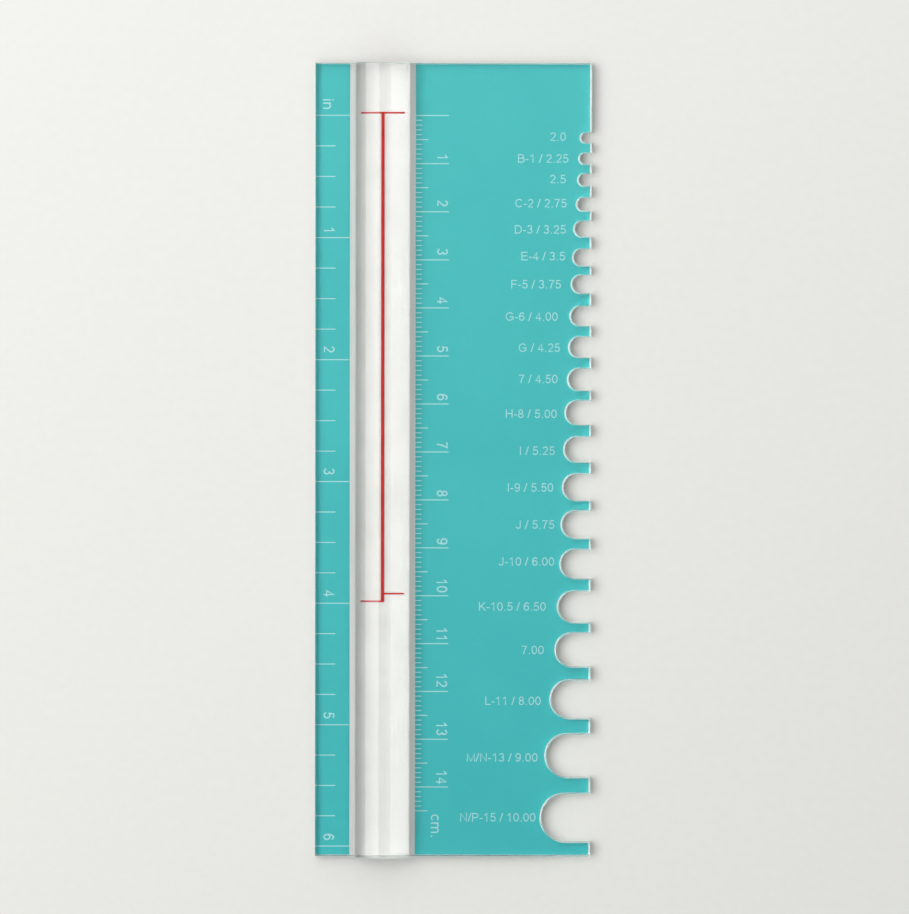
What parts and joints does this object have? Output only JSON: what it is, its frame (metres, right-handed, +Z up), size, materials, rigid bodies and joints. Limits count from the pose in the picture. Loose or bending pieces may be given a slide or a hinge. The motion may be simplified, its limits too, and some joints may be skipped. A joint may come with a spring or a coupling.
{
  "type": "crochet gauge",
  "caption": "Clear printed acrylic ruler with notches that size crochet hooks, and a magnifying bar over a line of standard length for counting stitches.",
  "frame": {"origin": "the middle of the flat underside that the gauge lies on", "axes": "+X across the sheet towards the notched edge, +Y along it towards the zero end of both scales, +Z up out of the printed underside towards the magnifying bar"},
  "size_m": [0.0574, 0.165, 0.0072],
  "materials": {
    "clear_acrylic": "clear polished acrylic",
    "clear_bond": "clear cement",
    "teal_print": "screen-printed ink",
    "red_print": "screen-printed ink"
  },
  "bodies": {
    "root": {"clear_sheet": "clear_acrylic", "magnifier_bar": "clear_acrylic", "bar_bond": "clear_bond", "inch_scale_print": "teal_print", "hook_size_print": "teal_print", "gauge_line_print": "red_print"}
  },
  "joints": []
}
